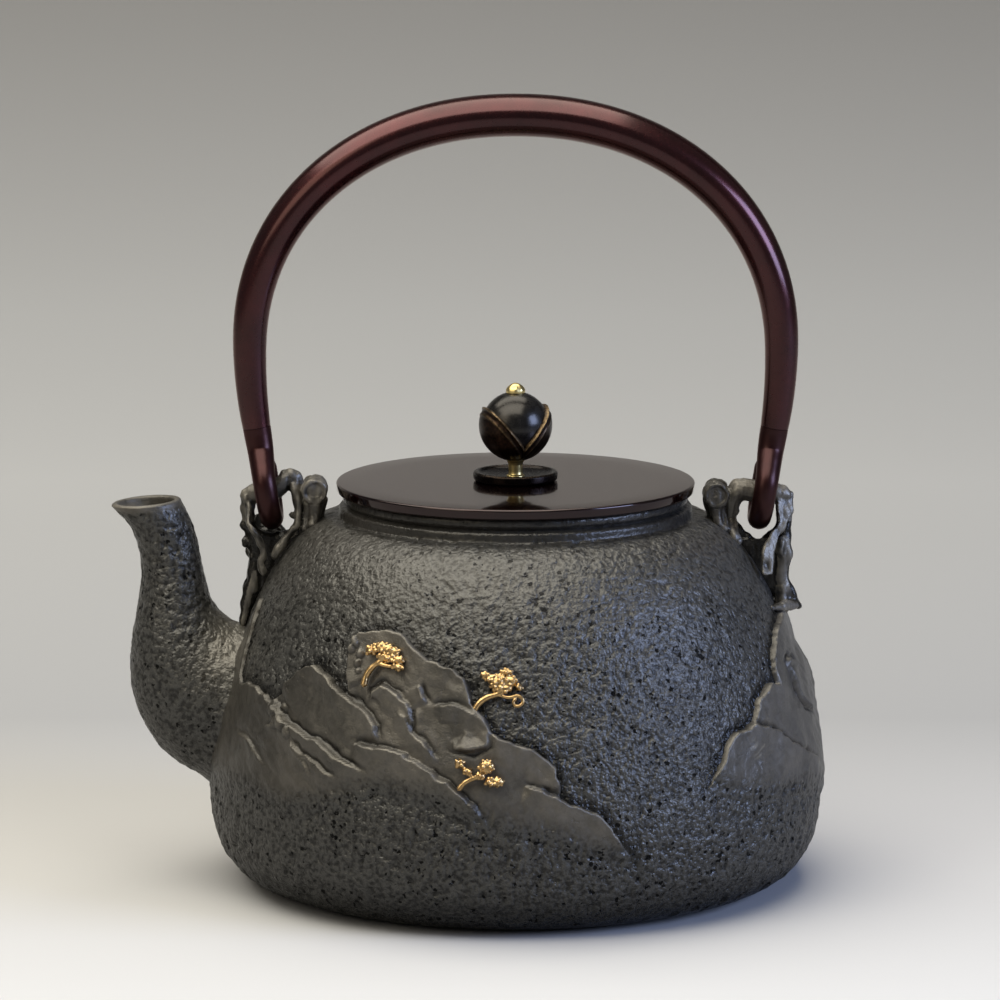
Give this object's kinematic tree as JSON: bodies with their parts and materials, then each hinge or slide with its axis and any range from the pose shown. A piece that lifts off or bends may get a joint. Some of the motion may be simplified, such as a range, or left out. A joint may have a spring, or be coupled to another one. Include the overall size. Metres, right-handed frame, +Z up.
{
  "type": "cast-iron kettle",
  "caption": "Round cast-iron kettle with a pouring beak, mountain and pine relief, a swinging hooked copper bail, and a flat lift-off lid with a bud-shaped turning knob.",
  "frame": {"origin": "centre of the foot's underside, on the kettle's axis", "axes": "+Z up; -X toward the spout; the bail swings about X, and the mountain relief faces -Y"},
  "size_m": [0.1765, 0.1524, 0.1934],
  "materials": {
    "cast_skin": "rough sand-cast skin, dark grey",
    "smooth_iron": "smooth matt cast iron",
    "gilt": "worn gilding",
    "lacquered_copper": "glossy dark red-brown lacquer over copper",
    "dark_copper": "polished dark purple-brown copper",
    "dark_bronze": "dark brown bronze",
    "black_bronze": "polished near-black bronze",
    "brass": "polished brass"
  },
  "bodies": {
    "kettle": {"kettle_body": "cast_skin", "spout": "cast_skin", "left_ear": "smooth_iron", "right_ear": "smooth_iron", "front_mountain": "smooth_iron", "side_mountain": "smooth_iron", "upper_pine": "gilt", "ridge_pine": "gilt", "lower_pine": "gilt"},
    "bail": {"bail_tube": "lacquered_copper", "left_hook": "lacquered_copper", "right_hook": "lacquered_copper"},
    "lid": {"lid_plate": "dark_copper", "lid_flange": "dark_copper"},
    "knob": {"knob_seat": "dark_bronze", "knob_stem": "brass", "knob_bud": "black_bronze", "knob_sepals": "dark_bronze", "knob_cap": "brass", "knob_washer": "brass"}
  },
  "joints": [
    {"name": "bail_swing", "type": "hinge", "parent": "kettle", "child": "bail", "pos_m": [0, 0, 0.0955], "axis": [1, 0, 0], "range_deg": [-105, 105]},
    {"name": "lid_lift", "type": "slide", "parent": "kettle", "child": "lid", "axis": [0, 0, 1], "range_m": [0, 0.05]},
    {"name": "knob_spin", "type": "hinge", "parent": "lid", "child": "knob", "pos_m": [0, 0, 0.1], "axis": [0, 0, 1], "continuous": true}
  ]
}
